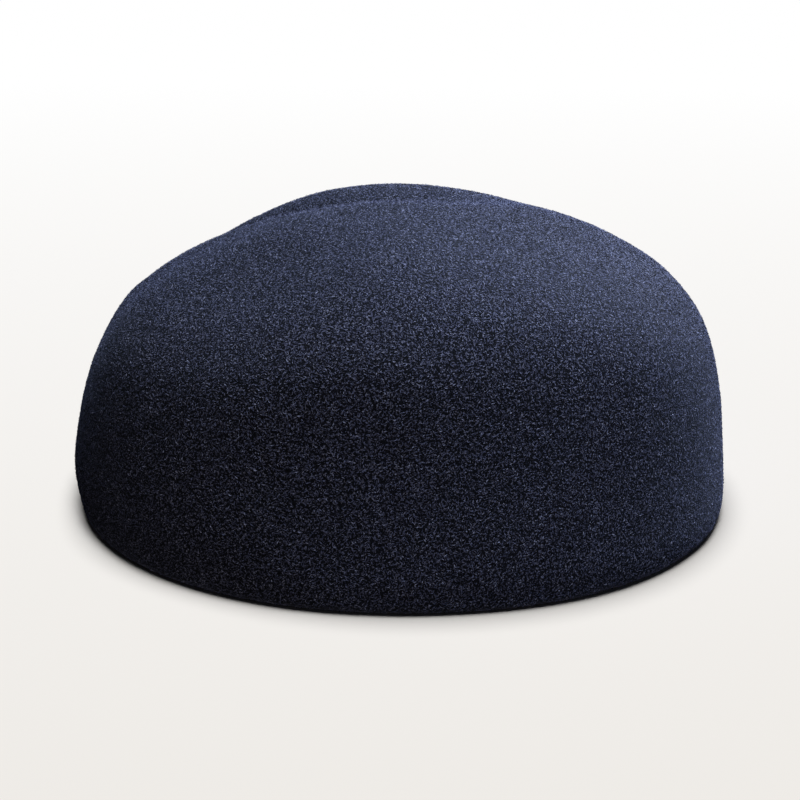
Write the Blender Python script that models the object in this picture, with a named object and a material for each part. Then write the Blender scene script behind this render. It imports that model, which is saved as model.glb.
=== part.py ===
"""Pillbox hat: one piece of blocked wool felt, hollow and open below, with a crease across its tip.

Metres, +Z up. The face looks along -Y, so +Y is the back of the head, and the edge stands on z = 0.
"""
from collections import namedtuple
import math

import bpy
import numpy as np

# Overall sizes
WIDTH = 0.180
DEPTH = 0.205
HEIGHT = 0.089
TIP_FORWARD = 0.024
PLAN_POWER = 2.1

# Felt sheet and its turned-in edge
FELT_THICKNESS = 0.0025
FOLD_HOLLOW = 0.0008
FOOT_WIDTH = 0.0015
HEM_RISE = 0.015
FOLD_RADIUS = FELT_THICKNESS + FOLD_HOLLOW

# Mesh density and shading
MERIDIANS = 64
FOLD_STEPS = 3
HEM_STEPS = 2
SHARP_ANGLE = math.radians(50)

# Navy felt
FELT_COLOUR = (0.017, 0.020, 0.036)
FELT_ROUGHNESS = 0.95

# Sections of the outer skin from the lip above the fold up to the tip, one pair for each side of the
# head and one for its front left corner: how far it reaches, a share of half the plan, and how high it
# lies, a share of the height above the fold. Steps are the mesh rows up to the next section.
Section = namedtuple("Section", "name steps front right back left front_left")
SECTIONS = (
    Section("lip", 3, (0.986, 0.000), (0.998, 0.000), (0.990, 0.000), (0.981, 0.000), (0.983, 0.000)),
    Section("belly", 2, (1.000, 0.095), (1.000, 0.040), (1.000, 0.075), (1.000, 0.115), (1.000, 0.105)),
    Section("wall", 3, (0.990, 0.380), (0.985, 0.290), (0.985, 0.305), (0.962, 0.345), (0.978, 0.360)),
    Section("shoulder", 4, (0.973, 0.660), (0.940, 0.520), (0.930, 0.480), (0.875, 0.555), (0.938, 0.560)),
    Section("brow", 4, (0.895, 0.805), (0.840, 0.680), (0.830, 0.610), (0.750, 0.700), (0.860, 0.680)),
    Section("slope", 7, (0.600, 0.945), (0.620, 0.830), (0.650, 0.780), (0.540, 0.845), (0.600, 0.840)),
    Section("crown", 10, (0.280, 0.990), (0.320, 0.962), (0.380, 0.940), (0.290, 0.950), (0.290, 0.965)),
    Section("tip", 0, (0.000, 1.000), (0.000, 1.000), (0.000, 1.000), (0.000, 1.000), (0.000, 1.000)),
)

# Crease behind the front ridge, from the left shoulder across the tip. Across is a share of half WIDTH,
# along, near and far are shares of half DEPTH, and depth is a share of HEIGHT. Near and far are the
# widths of its front and back slopes.
Crease = namedtuple("Crease", "name across along depth near far")
CREASE = (
    Crease("left_end", -0.84, 0.18, 0.000, 0.14, 0.46),
    Crease("left_brow", -0.66, 0.15, 0.050, 0.16, 0.38),
    Crease("notch", -0.48, 0.11, 0.105, 0.21, 0.27),
    Crease("left_run", -0.30, 0.08, 0.110, 0.28, 0.24),
    Crease("middle", -0.05, 0.07, 0.095, 0.34, 0.28),
    Crease("right_run", 0.25, 0.12, 0.040, 0.36, 0.28),
    Crease("right_end", 0.58, 0.22, 0.000, 0.24, 0.28),
)


def clear_scene():
    """Empty the scene."""
    for old in list(bpy.data.objects):
        bpy.data.objects.remove(old, do_unlink=True)


def ease(stations, values, at, level_end=False):
    """Smooth curve through the values that never overshoots them, and may run level into the last."""
    stations = np.asarray(stations, dtype=float)
    values = np.asarray(values, dtype=float)
    gaps = np.diff(stations)
    rates = np.diff(values) / gaps
    slopes = np.concatenate([rates[:1], np.zeros(len(values) - 2), [0 if level_end else rates[-1]]])
    for k in range(1, len(values) - 1):
        if rates[k - 1] * rates[k] > 0:
            before = 2 * gaps[k] + gaps[k - 1]
            after = gaps[k] + 2 * gaps[k - 1]
            slopes[k] = (before + after) / (before / rates[k - 1] + after / rates[k])
    at = np.clip(at, stations[0], stations[-1])
    k = np.clip(np.searchsorted(stations, at, side="right") - 1, 0, len(gaps) - 1)
    t = (at - stations[k]) / gaps[k]
    return (
        (1 + 2 * t) * (1 - t) ** 2 * values[k]
        + t * (1 - t) ** 2 * gaps[k] * slopes[k]
        + t**2 * (3 - 2 * t) * values[k + 1]
        + t**2 * (t - 1) * gaps[k] * slopes[k + 1]
    )


def side_shares(angle):
    """How much each side of the head, and its front left corner, counts at an angle around the hat."""
    front = np.clip(-np.sin(angle), 0, None) ** 2
    right = np.clip(np.cos(angle), 0, None) ** 2
    back = np.clip(np.sin(angle), 0, None) ** 2
    left = np.clip(-np.cos(angle), 0, None) ** 2
    corner = 4 * front * left
    return {
        "front": front * (1 - corner),
        "right": right,
        "back": back,
        "left": left * (1 - corner),
        "front_left": corner,
    }


def blocked_skin(angle, station):
    """Outer skin of the plain blocked dome at an angle around the hat and a station up its sections."""
    across = np.cos(angle)
    along = np.sin(angle)
    radius = (
        np.abs(across / (WIDTH / 2)) ** PLAN_POWER + np.abs(along / (DEPTH / 2)) ** PLAN_POWER
    ) ** (-1 / PLAN_POWER)
    stations = range(len(SECTIONS))
    reach = 0
    rise = 0
    for side, share in side_shares(angle).items():
        pairs = np.array([getattr(section, side) for section in SECTIONS])
        reach = reach + share * ease(stations, pairs[:, 0], station)
        rise = rise + share * ease(stations, pairs[:, 1], station, level_end=True)
    x = radius * reach * across
    y = radius * reach * along - TIP_FORWARD * (1 - reach)
    z = FOLD_RADIUS + (HEIGHT - FOLD_RADIUS) * rise
    return np.stack([x, y, z], axis=-1)


def skin_normal(angle, station):
    """Outward direction of the plain blocked dome."""
    nudge = 0.01
    around = blocked_skin(angle + nudge, station) - blocked_skin(angle - nudge, station)
    upward = blocked_skin(angle, station + nudge) - blocked_skin(angle, station - nudge)
    normal = np.cross(around, upward)
    return normal / np.linalg.norm(normal, axis=-1, keepdims=True)


def crease_depth(points):
    """How deep the crease presses the felt at each point."""
    across = points[..., 0] / (WIDTH / 2)
    along = points[..., 1] / (DEPTH / 2)
    stations = [crease.across for crease in CREASE]
    middle, depth, near, far = (
        ease(stations, [getattr(crease, column) for crease in CREASE], across)
        for column in ("along", "depth", "near", "far")
    )
    offset = along - middle
    slope = np.clip(offset / np.where(offset < 0, -near, far), 0, 1)
    return HEIGHT * depth * (1 - slope**2) ** 2


def skin_rings():
    """Rings of points up the outer skin, from the lip to just below the tip, and the tip itself."""
    angle = np.linspace(0, 2 * np.pi, MERIDIANS, endpoint=False)
    station = np.concatenate(
        [k + np.arange(section.steps) / section.steps for k, section in enumerate(SECTIONS[:-1])]
    )
    angle, station = np.meshgrid(angle, station)
    skin = blocked_skin(angle, station)
    skin = skin - skin_normal(angle, station) * crease_depth(skin)[..., None]
    tip = np.array([0, -TIP_FORWARD, HEIGHT])
    tip[2] -= crease_depth(tip)
    return skin, tip


def hem_path():
    """How far in from the lip and how high the turned-in edge runs, from its cut edge to the lip."""
    inner = 2 * FOLD_RADIUS + FOOT_WIDTH
    path = [(inner, rise) for rise in np.linspace(HEM_RISE, FOLD_RADIUS, HEM_STEPS, endpoint=False)]
    for turn in np.linspace(0, math.pi / 2, FOLD_STEPS + 1):
        path.append((inner - FOLD_RADIUS * (1 - math.cos(turn)), FOLD_RADIUS * (1 - math.sin(turn))))
    for turn in np.linspace(math.pi / 2, 0, FOLD_STEPS, endpoint=False):
        path.append((FOLD_RADIUS * (1 - math.cos(turn)), FOLD_RADIUS * (1 - math.sin(turn))))
    return path


def hem_rings(lip):
    """Rings of points along the turned-in edge, from its cut edge inside the hat to below the lip."""
    ahead = np.roll(lip, -1, axis=0) - np.roll(lip, 1, axis=0)
    inward = np.cross([0, 0, 1], ahead)
    inward = inward / np.linalg.norm(inward, axis=-1, keepdims=True)
    plan = lip * np.array([1, 1, 0])
    return np.stack([plan + inward * inset + np.array([0, 0, rise]) for inset, rise in hem_path()])


def felt_material():
    """Matt dark navy wool felt."""
    material = bpy.data.materials.new("navy_felt")
    material.use_nodes = True
    shader = material.node_tree.nodes["Principled BSDF"]
    shader.inputs["Base Color"].default_value = (*FELT_COLOUR, 1)
    shader.inputs["Roughness"].default_value = FELT_ROUGHNESS
    shader.inputs["Metallic"].default_value = 0
    return material


def felt_crown():
    """The whole hat: a felt sheet blocked into crown, wall and turned-in edge, thickened inward."""
    skin, tip = skin_rings()
    rings = np.concatenate([hem_rings(skin[0]), skin])
    points = [*rings.reshape(-1, 3).tolist(), tip.tolist()]
    top = (len(rings) - 1) * MERIDIANS
    faces = []
    for k in range(MERIDIANS):
        after = (k + 1) % MERIDIANS
        for low in range(0, top, MERIDIANS):
            high = low + MERIDIANS
            faces.append((low + k, low + after, high + after, high + k))
        faces.append((top + k, top + after, top + MERIDIANS))
    mesh = bpy.data.meshes.new("felt_crown")
    mesh.from_pydata(points, [], faces)
    mesh.shade_smooth()
    mesh.set_sharp_from_angle(angle=SHARP_ANGLE)
    mesh.materials.append(felt_material())
    crown = bpy.data.objects.new("felt_crown", mesh)
    bpy.context.collection.objects.link(crown)
    sheet = crown.modifiers.new("felt", "SOLIDIFY")
    sheet.thickness = FELT_THICKNESS
    sheet.offset = -1
    sheet.use_even_offset = True
    sheet.use_quality_normals = True


clear_scene()
felt_crown()
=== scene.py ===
"""A navy felt pillbox hat on a pale studio floor.

The felt itself is one piece made from the CAD felt, smoothed and softly uneven, darker under the nap as
painted shade between the fibres, and barer inside. Its nap is a layer of short laid fibres in six pieces,
one for each sector of the hat, with a thinner one inside, fine stray hairs over the whole outside and
raised ones on the ridge before the crease, paler as a painted highlight.
"""

from collections import namedtuple
import math

import bmesh
import bpy
import numpy as np
from mathutils import Matrix, Vector, noise
from mathutils.bvhtree import BVHTree
from mathutils.kdtree import KDTree


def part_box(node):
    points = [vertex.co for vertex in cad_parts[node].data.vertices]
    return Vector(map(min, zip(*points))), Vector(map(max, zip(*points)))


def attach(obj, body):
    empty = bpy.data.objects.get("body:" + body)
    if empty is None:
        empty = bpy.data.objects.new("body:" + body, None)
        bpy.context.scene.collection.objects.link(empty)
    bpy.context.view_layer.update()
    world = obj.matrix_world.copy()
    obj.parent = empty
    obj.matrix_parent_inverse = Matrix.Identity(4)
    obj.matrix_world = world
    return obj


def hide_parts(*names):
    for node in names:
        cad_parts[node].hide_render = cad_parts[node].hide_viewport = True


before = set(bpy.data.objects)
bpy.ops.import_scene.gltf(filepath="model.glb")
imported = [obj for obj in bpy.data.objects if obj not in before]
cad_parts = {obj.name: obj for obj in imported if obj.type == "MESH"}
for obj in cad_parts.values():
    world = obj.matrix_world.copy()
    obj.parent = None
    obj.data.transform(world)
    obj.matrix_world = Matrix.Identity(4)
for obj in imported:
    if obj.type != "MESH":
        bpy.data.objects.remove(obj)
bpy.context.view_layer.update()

MM = 0.001
NODE = "felt_crown"
LOW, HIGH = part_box(NODE)
HEIGHT = HIGH.z - LOW.z

# Felt surface: what counts as one point and as one four-sided face, how finely it is smoothed, and from
# what angle its edges stay crisp
WELD = 0.001 * MM
JOIN_FACE_ANGLE = math.radians(60)
JOIN_SHAPE_ANGLE = math.radians(80)
SUBDIVISIONS = 2
EDGE_ANGLE = math.radians(50)
CUT_EDGE_CREASE = 0.5

# Unevenness of the felt: size of the waves and how far they move the surface, how far apart in the noise
# their patterns lie, and the height below which they die out
WAVES = ((45 * MM, 0.35 * MM), (14 * MM, 0.12 * MM), (5 * MM, 0.06 * MM))
WAVE_SHIFT = 11.3
STEADY_BELOW = 4 * MM

# Darkest and lightest wool of the felt under the nap, made darker there as painted shade between the
# fibres, and of the barer felt inside
UNDER_NAP_PAINTED_SHADE = ((0.0025, 0.003, 0.006), (0.010, 0.012, 0.024))
INSIDE_HAT = ((0.014, 0.016, 0.032), (0.052, 0.059, 0.116))

# Pattern of the felt: size of its hairs, where between them the wool is darkest and lightest, how deep
# its pits are, size of its clouds, and how much they darken and lighten it
HAIR_SIZE = 0.55 * MM
HAIR_RAMP = (0.35, 0.68)
PIT_DEPTH = 0.25 * MM
CLOUD_SIZE = 16 * MM
CLOUD_TONES = (0.75, 1.3)

# Sides of the hat: its sectors outside, the inside as seen from a point in the head cavity, and what is
# folded away, which is what faces more felt within the reach
SECTORS = ("front", "front_right", "back_right", "back", "back_left", "front_left")
INSIDE = len(SECTORS)
FOLDED = INSIDE + 1
FOLD_REACH = 12 * MM
IN_CAVITY = np.array([0, (LOW.y + HIGH.y) / 2, LOW.z + HEIGHT / 4])

# Nap: how far apart the roots of its fibres are, the fibres' length and width, how steeply they rise and
# then fall in radians, and the shares of the shades
Nap = namedtuple("Nap", "gap length width rise fall shares")
LAID_NAP = Nap(0.30 * MM, 0.80 * MM, 0.21 * MM, (0.05, 0.50), (-0.40, 0.30), (0.45, 0.41, 0.14))
INNER_NAP = LAID_NAP._replace(gap=1.30 * MM)
STRAY_NAP = Nap(1.30 * MM, 1.20 * MM, 0.10 * MM, (0.05, 0.30), (-0.40, 0.10), (0.00, 0.40, 0.60))
# The ridge's raised nap has more pale fibres, as a painted highlight along the crest.
RIDGE_NAP_PAINTED_HIGHLIGHT = Nap(0.34 * MM, 1.00 * MM, 0.12 * MM, (0.45, 1.10), (0.10, 0.90), (0.10, 0.50, 0.40))

# How many roots are tried for each that fits, how deep they sit, and how much fibres lie around the hat
ROOT_TRIES = 2.0
ROOT_DEPTH = 0.05 * MM
AROUND = 0.6

# Fibres: how much their length and width vary, the least and most share of each, where along its length a
# fibre bends, how far it bends and how much it rolls in radians
LENGTH_SPREAD = (0.25, 0.6, 1.7)
WIDTH_SPREAD = (0.2, 0.7, 1.5)
BEND_AT = 0.55
BEND_MOST = 1.0
ROLL_SPREAD = 0.35

# Shades of the fibres, how dull they are from patch to patch, and the size of the patches
NAP_SHADES = (
    ("nap_navy", (0.058, 0.066, 0.142)),
    ("nap_blue", (0.100, 0.113, 0.228)),
    ("nap_pale", (0.210, 0.230, 0.400)),
)
NAP_DULLNESS = (0.65, 0.95)
PATCH_SIZE = 6 * MM
SEED = 7

# Crest of the ridge before the crease, where the raised nap's paler fibres are a painted highlight: how
# far back its felt leans, where it lies and how its ends fade
RIDGE_TILT = math.radians(13)
RIDGE_TILT_REACH = math.radians(8)
RIDGE_ABOVE = LOW.z + 0.80 * HEIGHT
RIDGE_ACROSS = (-0.44 * HIGH.x, 0.13 * HIGH.x)
RIDGE_BEFORE = 0.0
RIDGE_FADE = 12 * MM

# Camera, as the photograph's: where it turns about, how far and how high it stands, and what it looks at
CAMERA_PIVOT = Vector((0, 0, 0.042))
CAMERA_DISTANCE = 0.900
CAMERA_ELEVATION = math.radians(15.5)
CAMERA_AIM = Vector((0, 0, 0.0268))
CAMERA_ROLL = math.radians(0.6)
LENS_MM = 146.4

# Floor: its size, its colours before and behind the hat, the front one darker and warmer as painted
# shade, and between which depths they blend
FLOOR_SIZE = 16
FLOOR_FRONT_PAINTED_SHADE = (0.80, 0.775, 0.74)
FLOOR_BACK = (0.95, 0.95, 0.95)
FLOOR_SHADE_FADE = (-0.25, 0.60)

# Soft lights: azimuth from the camera's side round to the hat's right, elevation and width in degrees,
# and what they light
SoftLight = namedtuple("SoftLight", "name azimuth elevation width strength colour lit")
LIGHTS = (
    SoftLight("overhead", 90, 80, 25, 3.10, (0.94, 1.00, 0.94), "hat"),
    SoftLight("right_rear", 148, 30, 25, 4.20, (0.71, 0.80, 1.00), "hat"),
    SoftLight("right_front", 60, 30, 25, 0.40, (0.45, 0.72, 1.00), "hat"),
    SoftLight("front", 15, 8, 20, 0.80, (1.00, 0.88, 0.68), "hat"),
    SoftLight("floor_wash", 0, 90, 30, 3.34, (1.00, 1.00, 1.00), "floor"),
)
ROOM_COLOUR = (0.93, 0.95, 1.0)
ROOM_STRENGTH = 0.01


def noise_at(points, size, offset):
    """Smooth noise from -1 to 1 at each point."""
    at = points / size + offset
    return np.array([noise.noise(Vector(p)) for p in at])


def mesh_arrays(mesh):
    """Corners and outward directions of a mesh's vertices."""
    count = len(mesh.vertices)
    points = np.empty(count * 3, np.float32)
    mesh.vertices.foreach_get("co", points)
    normals = np.empty(count * 3, np.float32)
    mesh.vertex_normals.foreach_get("vector", normals)
    return points.reshape(-1, 3).astype(float), normals.reshape(-1, 3).astype(float)


def mesh_from_arrays(name, points, faces):
    """Mesh from an array of points and one of faces, a row of point numbers for each."""
    mesh = bpy.data.meshes.new(name)
    mesh.vertices.add(len(points))
    mesh.vertices.foreach_set("co", points.astype(np.float32).ravel())
    mesh.loops.add(faces.size)
    mesh.loops.foreach_set("vertex_index", faces.astype(np.int32).ravel())
    count, sides = faces.shape
    mesh.polygons.add(count)
    mesh.polygons.foreach_set("loop_start", np.arange(0, faces.size, sides, dtype=np.int32))
    mesh.polygons.foreach_set("loop_total", np.full(count, sides, np.int32))
    mesh.update(calc_edges=True)
    return mesh


def add_object(name, mesh):
    """Object in the scene for a mesh."""
    made = bpy.data.objects.new(name, mesh)
    bpy.context.scene.collection.objects.link(made)
    return made


def add_node(material, kind, **settings):
    """Shader node with its settings."""
    node = material.node_tree.nodes.new(kind)
    for name, value in settings.items():
        setattr(node, name, value)
    return node


def felt_material(name, darkest, lightest):
    """Felt seen between the fibres: mottled navy, matt, with a pitted, hairy surface."""
    material = bpy.data.materials.new(name)
    material.use_nodes = True
    link = material.node_tree.links.new
    shader = material.node_tree.nodes["Principled BSDF"]
    shader.inputs["Roughness"].default_value = 0.9
    shader.inputs["Specular IOR Level"].default_value = 0.1
    shader.inputs["Sheen Weight"].default_value = 0.06
    shader.inputs["Sheen Roughness"].default_value = 0.45
    shader.inputs["Sheen Tint"].default_value = (0.45, 0.55, 0.85, 1)

    place = add_node(material, "ShaderNodeTexCoord")
    hair = add_node(material, "ShaderNodeTexNoise")
    hair.inputs["Scale"].default_value = 1 / HAIR_SIZE
    hair.inputs["Detail"].default_value = 3
    hair.inputs["Distortion"].default_value = 1.2
    cloud = add_node(material, "ShaderNodeTexNoise")
    cloud.inputs["Scale"].default_value = 1 / CLOUD_SIZE
    cloud.inputs["Detail"].default_value = 4
    for texture in (hair, cloud):
        link(place.outputs["Object"], texture.inputs["Vector"])

    shade = add_node(material, "ShaderNodeValToRGB")
    for stop, position, colour in zip(shade.color_ramp.elements, HAIR_RAMP, (darkest, lightest)):
        stop.position = position
        stop.color = (*colour, 1)
    link(hair.outputs["Fac"], shade.inputs["Fac"])
    tone = add_node(material, "ShaderNodeMapRange")
    tone.inputs["To Min"].default_value = CLOUD_TONES[0]
    tone.inputs["To Max"].default_value = CLOUD_TONES[1]
    link(cloud.outputs["Fac"], tone.inputs["Value"])
    mottle = add_node(material, "ShaderNodeVectorMath", operation="SCALE")
    link(shade.outputs["Color"], mottle.inputs[0])
    link(tone.outputs["Result"], mottle.inputs["Scale"])
    link(mottle.outputs["Vector"], shader.inputs["Base Color"])

    pits = add_node(material, "ShaderNodeBump")
    pits.inputs["Strength"].default_value = 0.8
    pits.inputs["Distance"].default_value = PIT_DEPTH
    link(hair.outputs["Fac"], pits.inputs["Height"])
    link(pits.outputs["Normal"], shader.inputs["Normal"])
    return material


def nap_material(name, colour):
    """One shade of wool fibre, with a roughness that changes from place to place."""
    material = bpy.data.materials.new(name)
    material.use_nodes = True
    shader = material.node_tree.nodes["Principled BSDF"]
    shader.inputs["Base Color"].default_value = (*colour, 1)
    shader.inputs["Specular IOR Level"].default_value = 0.25
    shader.inputs["Sheen Weight"].default_value = 0.15
    shader.inputs["Sheen Roughness"].default_value = 0.4
    shader.inputs["Sheen Tint"].default_value = (0.42, 0.52, 0.95, 1)
    place = add_node(material, "ShaderNodeTexCoord")
    patch = add_node(material, "ShaderNodeTexNoise")
    patch.inputs["Scale"].default_value = 1 / PATCH_SIZE
    dull = add_node(material, "ShaderNodeMapRange")
    dull.inputs["To Min"].default_value = NAP_DULLNESS[0]
    dull.inputs["To Max"].default_value = NAP_DULLNESS[1]
    material.node_tree.links.new(place.outputs["Object"], patch.inputs["Vector"])
    material.node_tree.links.new(patch.outputs["Fac"], dull.inputs["Value"])
    material.node_tree.links.new(dull.outputs["Result"], shader.inputs["Roughness"])
    return material


def felt_cage():
    """The CAD felt's mesh, welded and back in four-sided faces, with its cut edge kept crisp."""
    work = bmesh.new()
    work.from_mesh(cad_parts[NODE].data)
    bmesh.ops.remove_doubles(work, verts=work.verts, dist=WELD)
    bmesh.ops.join_triangles(
        work,
        faces=work.faces,
        angle_face_threshold=JOIN_FACE_ANGLE,
        angle_shape_threshold=JOIN_SHAPE_ANGLE,
    )
    crease = work.edges.layers.float.new("crease_edge")
    for edge in work.edges:
        if edge.calc_face_angle(0) > EDGE_ANGLE:
            edge[crease] = CUT_EDGE_CREASE
    cage = bpy.data.meshes.new("felt_cage")
    work.to_mesh(cage)
    work.free()
    return cage


def uneven(mesh):
    """Moves a mesh's vertices in and out in soft waves that die out at the foot it stands on."""
    points, normals = mesh_arrays(mesh)
    move = np.zeros(len(points))
    for k, (size, depth) in enumerate(WAVES):
        move += depth * noise_at(points, size, WAVE_SHIFT * k)
    move *= np.clip((points[:, 2] - LOW.z) / STEADY_BELOW, 0, 1)
    points += normals * move[:, None]
    mesh.vertices.foreach_set("co", points.astype(np.float32).ravel())
    mesh.update()


def make_felt():
    """The felt: the smoothed and softly uneven surface of the whole hat."""
    smooth = add_object("felt_smooth", felt_cage())
    surface = smooth.modifiers.new("surface", "SUBSURF")
    surface.levels = surface.render_levels = SUBDIVISIONS
    mesh = bpy.data.meshes.new_from_object(
        smooth.evaluated_get(bpy.context.evaluated_depsgraph_get())
    )
    bpy.data.objects.remove(smooth)
    uneven(mesh)
    mesh.shade_smooth()
    mesh.materials.clear()
    # The felt under the nap is darker than the inside as painted shade between the fibres.
    mesh.materials.append(felt_material("navy_felt", *UNDER_NAP_PAINTED_SHADE))
    mesh.materials.append(felt_material("navy_felt_inside", *INSIDE_HAT))
    mesh.name = "felt_body"
    felt = add_object("felt_body", mesh)
    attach(felt, "root")
    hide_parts(NODE)
    return felt


def triangle_arrays(mesh):
    """A mesh's triangles: their corners, the outward directions there, their own ones and their areas."""
    mesh.calc_loop_triangles()
    index = np.empty(len(mesh.loop_triangles) * 3, np.int32)
    mesh.loop_triangles.foreach_get("vertices", index)
    index = index.reshape(-1, 3)
    points, normals = mesh_arrays(mesh)
    corners = points[index]
    facing = np.cross(corners[:, 1] - corners[:, 0], corners[:, 2] - corners[:, 0])
    size = np.linalg.norm(facing, axis=1)
    return corners, normals[index], facing / size[:, None], size / 2


def sides_of_triangles(corners, facing):
    """For each triangle, its sector from the front round to the right outside, INSIDE, or FOLDED away."""
    middles = corners.mean(1)
    tree = BVHTree.FromPolygons(
        [Vector(p) for p in corners.reshape(-1, 3)],
        [(k, k + 1, k + 2) for k in range(0, len(corners) * 3, 3)],
    )
    outward = ((middles - IN_CAVITY) * facing).sum(1) > 0
    lift = 0.01 * MM
    hidden = np.array(
        [
            tree.ray_cast(Vector(p + n * lift), Vector(n), FOLD_REACH)[0] is not None
            for p, n in zip(middles, facing)
        ]
    )
    turn = np.arctan2(middles[:, 0], -middles[:, 1]) / (2 * math.pi)
    sector = np.round(turn * len(SECTORS)).astype(int) % len(SECTORS)
    return np.where(hidden, FOLDED, np.where(outward, sector, INSIDE))


def bare_inside(mesh, inside):
    """Gives the barer felt to the faces whose triangles lie inside the hat."""
    owner = np.empty(len(mesh.loop_triangles), np.int32)
    mesh.loop_triangles.foreach_get("polygon_index", owner)
    slots = np.zeros(len(mesh.polygons), np.int32)
    slots[owner[inside]] = 1
    mesh.polygons.foreach_set("material_index", slots)


def unit(vectors):
    """The vectors at length one."""
    return vectors / np.linalg.norm(vectors, axis=-1, keepdims=True)


def spread_out(points, gap):
    """Which points to keep so that each lies at least the gap from those kept before it."""
    points = points.tolist()
    tree = KDTree(len(points))
    for k, point in enumerate(points):
        tree.insert(point, k)
    tree.balance()
    kept = np.zeros(len(points), bool)
    crowded = np.zeros(len(points), bool)
    for k, point in enumerate(points):
        if not crowded[k]:
            kept[k] = True
            for _, near, _ in tree.find_range(point, gap):
                crowded[near] = True
    return kept


def roots_on(corners, normals, areas, gap, rng):
    """Evenly scattered points on the triangles, with the surface's outward direction at each."""
    tries = round(areas.sum() / gap**2 * ROOT_TRIES)
    pick = rng.choice(len(areas), tries, p=areas / areas.sum())
    share = rng.dirichlet((1, 1, 1), tries)
    root = np.einsum("nk,nkd->nd", share, corners[pick])
    up = unit(np.einsum("nk,nkd->nd", share, normals[pick]))
    kept = spread_out(root, gap)
    return root[kept], up[kept]


def varied(usual, spread, count, rng):
    """Sizes around the usual one, as a column."""
    deviation, least, most = spread
    return usual * np.clip(rng.lognormal(0, deviation, count), least, most)[:, None]


def fibre_points(nap, root, up, rng):
    """Four points of each fibre: its start, the two sides of its bend and its end."""
    count = len(root)
    ahead = unit(np.cross(up, rng.normal(size=(count, 3)) + (0, 0, AROUND)))
    aside = np.cross(up, ahead)
    length = varied(nap.length, LENGTH_SPREAD, count, rng)
    width = varied(nap.width, WIDTH_SPREAD, count, rng)
    rise = rng.uniform(*nap.rise, (count, 1))
    fall = rng.uniform(*nap.fall, (count, 1))
    bend = rng.uniform(-BEND_MOST, BEND_MOST, (count, 1))
    roll = rng.normal(0, ROLL_SPREAD, (count, 1))
    start = root - up * ROOT_DEPTH
    middle = start + length * BEND_AT * (ahead * np.cos(rise) + up * np.sin(rise))
    onward = ahead * np.cos(bend) + aside * np.sin(bend)
    end = middle + length * (1 - BEND_AT) * (onward * np.cos(fall) + up * np.sin(fall))
    across = (aside * np.cos(roll) + up * np.sin(roll)) * width / 2
    points = np.stack([start, middle - across, middle + across, end], axis=1)
    points[..., 2] = np.maximum(points[..., 2], LOW.z)
    return points


def make_nap(name, nap, root, up, rng, materials):
    """Short bent fibres, laid more around the hat than up and down, as one joined mesh."""
    points = fibre_points(nap, root, up, rng)
    count, corners = points.shape[:2]
    halves = np.array([(0, 1, 2), (1, 3, 2)])
    faces = np.arange(0, count * corners, corners)[:, None, None] + halves
    mesh = mesh_from_arrays(name, points.reshape(-1, 3), faces.reshape(-1, 3))
    shade = rng.choice(len(NAP_SHADES), count, p=nap.shares)
    mesh.polygons.foreach_set("material_index", np.repeat(shade, len(halves)).astype(np.int32))
    for material in materials:
        mesh.materials.append(material)
    mesh.shade_smooth()
    piece = add_object(name, mesh)
    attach(piece, "root")
    return piece


def crest_highlight_share(middles, facing):
    """How much each triangle lies on the ridge's crest before the crease, where a highlight is painted,
    from 0 to 1.
    """
    lean = np.arctan2(facing[:, 1], facing[:, 2]) - RIDGE_TILT
    crest = np.clip(1 - np.abs(lean) / RIDGE_TILT_REACH, 0, 1)
    left, right = RIDGE_ACROSS
    ends = np.clip(np.minimum(middles[:, 0] - left, right - middles[:, 0]) / RIDGE_FADE, 0, 1)
    return crest * ends * (middles[:, 2] > RIDGE_ABOVE) * (middles[:, 1] < RIDGE_BEFORE)


def make_all_nap(felt):
    """The nap on each sector, the one inside, the stray hairs and the raised, paler ones on the ridge: a
    painted highlight.
    """
    rng = np.random.default_rng(SEED)
    corners, normals, facing, areas = triangle_arrays(felt.data)
    sides = sides_of_triangles(corners, facing)
    bare_inside(felt.data, sides == INSIDE)
    outside = sides < INSIDE
    places = [("nap_" + name, LAID_NAP, sides == k) for k, name in enumerate(SECTORS)]
    places.append(("nap_inside", INNER_NAP, sides == INSIDE))
    places.append(("nap_stray", STRAY_NAP, outside))
    # The ridge nap's larger share of pale fibres is a painted highlight on the crest.
    places.append(("nap_ridge_painted_highlight", RIDGE_NAP_PAINTED_HIGHLIGHT, outside * crest_highlight_share(corners.mean(1), facing)))
    materials = [nap_material(name, colour) for name, colour in NAP_SHADES]
    pieces = []
    for name, nap, share in places:
        here = share > 0
        root, up = roots_on(corners[here], normals[here], (areas * share)[here], nap.gap, rng)
        pieces.append(make_nap(name, nap, root, up, rng, materials))
    return pieces


def floor_material():
    """Pale paper, with painted shade making it a little warmer and darker before the hat."""
    material = bpy.data.materials.new("floor_paper_painted_shade")
    material.use_nodes = True
    link = material.node_tree.links.new
    shader = material.node_tree.nodes["Principled BSDF"]
    shader.inputs["Roughness"].default_value = 0.9
    shader.inputs["Specular IOR Level"].default_value = 0.1
    place = add_node(material, "ShaderNodeTexCoord")
    split = add_node(material, "ShaderNodeSeparateXYZ")
    fade = add_node(material, "ShaderNodeMapRange")
    fade.inputs["From Min"].default_value = FLOOR_SHADE_FADE[0]
    fade.inputs["From Max"].default_value = FLOOR_SHADE_FADE[1]
    # The paper's ramp paints shade: darker and warmer before the hat, paler behind it.
    paper = add_node(material, "ShaderNodeValToRGB")
    paper.color_ramp.elements[0].color = (*FLOOR_FRONT_PAINTED_SHADE, 1)
    paper.color_ramp.elements[1].color = (*FLOOR_BACK, 1)
    link(place.outputs["Object"], split.inputs["Vector"])
    link(split.outputs["Y"], fade.inputs["Value"])
    link(fade.outputs["Result"], paper.inputs["Fac"])
    link(paper.outputs["Color"], shader.inputs["Base Color"])
    return material


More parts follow.
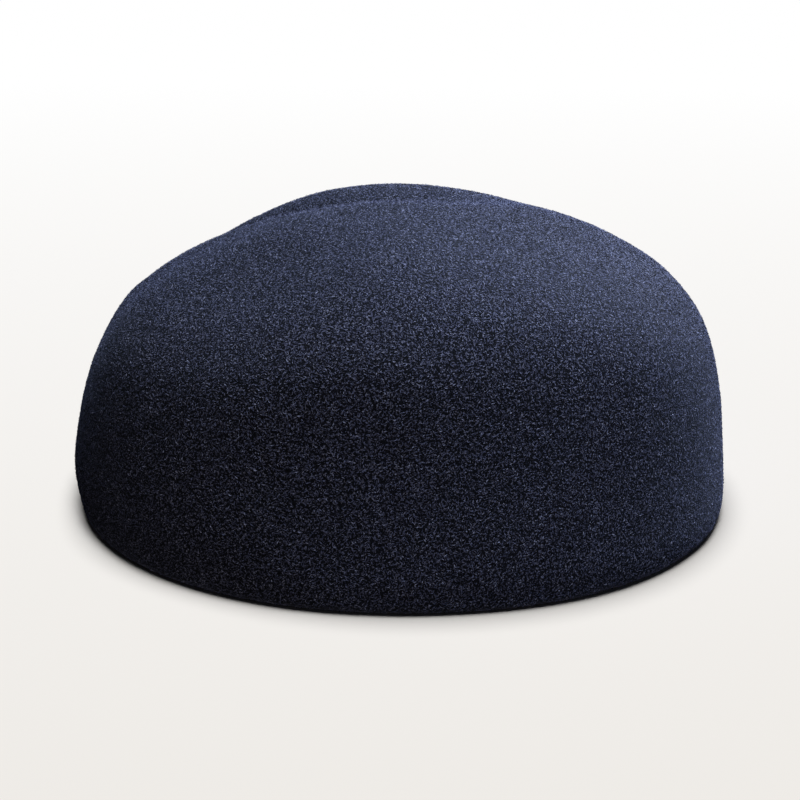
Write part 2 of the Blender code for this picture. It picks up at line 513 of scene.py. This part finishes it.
def make_floor():
    """Large pale floor, which throws no light back at the hat."""
    half = FLOOR_SIZE / 2
    z = LOW.z
    points = np.array([(-half, -half, z), (half, -half, z), (half, half, z), (-half, half, z)])
    mesh = mesh_from_arrays("floor", points, np.array([[0, 1, 2, 3]]))
    mesh.materials.append(floor_material())
    floor = add_object("floor", mesh)
    floor.visible_diffuse = False
    floor.visible_glossy = False
    return floor


def make_lights(surfaces):
    """Wide soft lights from far away, each on the surfaces that it lights."""
    for soft in LIGHTS:
        light = bpy.data.lights.new(soft.name, "SUN")
        light.energy = soft.strength
        light.angle = math.radians(soft.width)
        light.color = soft.colour
        lamp = bpy.data.objects.new(soft.name, light)
        tilt = math.radians(90 - soft.elevation)
        lamp.rotation_euler = (tilt, 0, math.radians(soft.azimuth))
        bpy.context.scene.collection.objects.link(lamp)
        lit = bpy.data.collections.new("lit_by_" + soft.name)
        for piece in surfaces[soft.lit]:
            lit.objects.link(piece)
        lamp.light_linking.receiver_collection = lit


def make_room():
    """Dim room round the floor, and plain colours in the picture."""
    world = bpy.data.worlds.new("room")
    bpy.context.scene.world = world
    world.use_nodes = True
    room = world.node_tree.nodes["Background"]
    room.inputs["Color"].default_value = (*ROOM_COLOUR, 1)
    room.inputs["Strength"].default_value = ROOM_STRENGTH
    bpy.context.scene.view_settings.view_transform = "Standard"


def make_camera():
    """Camera at the photograph's angle."""
    lens = bpy.data.cameras.new("camera")
    lens.lens = LENS_MM
    lens.clip_start = 0.05
    lens.clip_end = 50
    camera = bpy.data.objects.new("camera", lens)
    back = Vector((0, -math.cos(CAMERA_ELEVATION), math.sin(CAMERA_ELEVATION)))
    camera.location = CAMERA_PIVOT + back * CAMERA_DISTANCE
    look = (camera.location - CAMERA_AIM).to_track_quat("Z", "Y")
    camera.rotation_euler = (look.to_matrix() @ Matrix.Rotation(CAMERA_ROLL, 3, "Z")).to_euler()
    bpy.context.scene.collection.objects.link(camera)
    bpy.context.scene.camera = camera


felt = make_felt()
naps = make_all_nap(felt)
floor = make_floor()
make_lights({"hat": [felt, *naps], "floor": [floor]})
make_room()
make_camera()
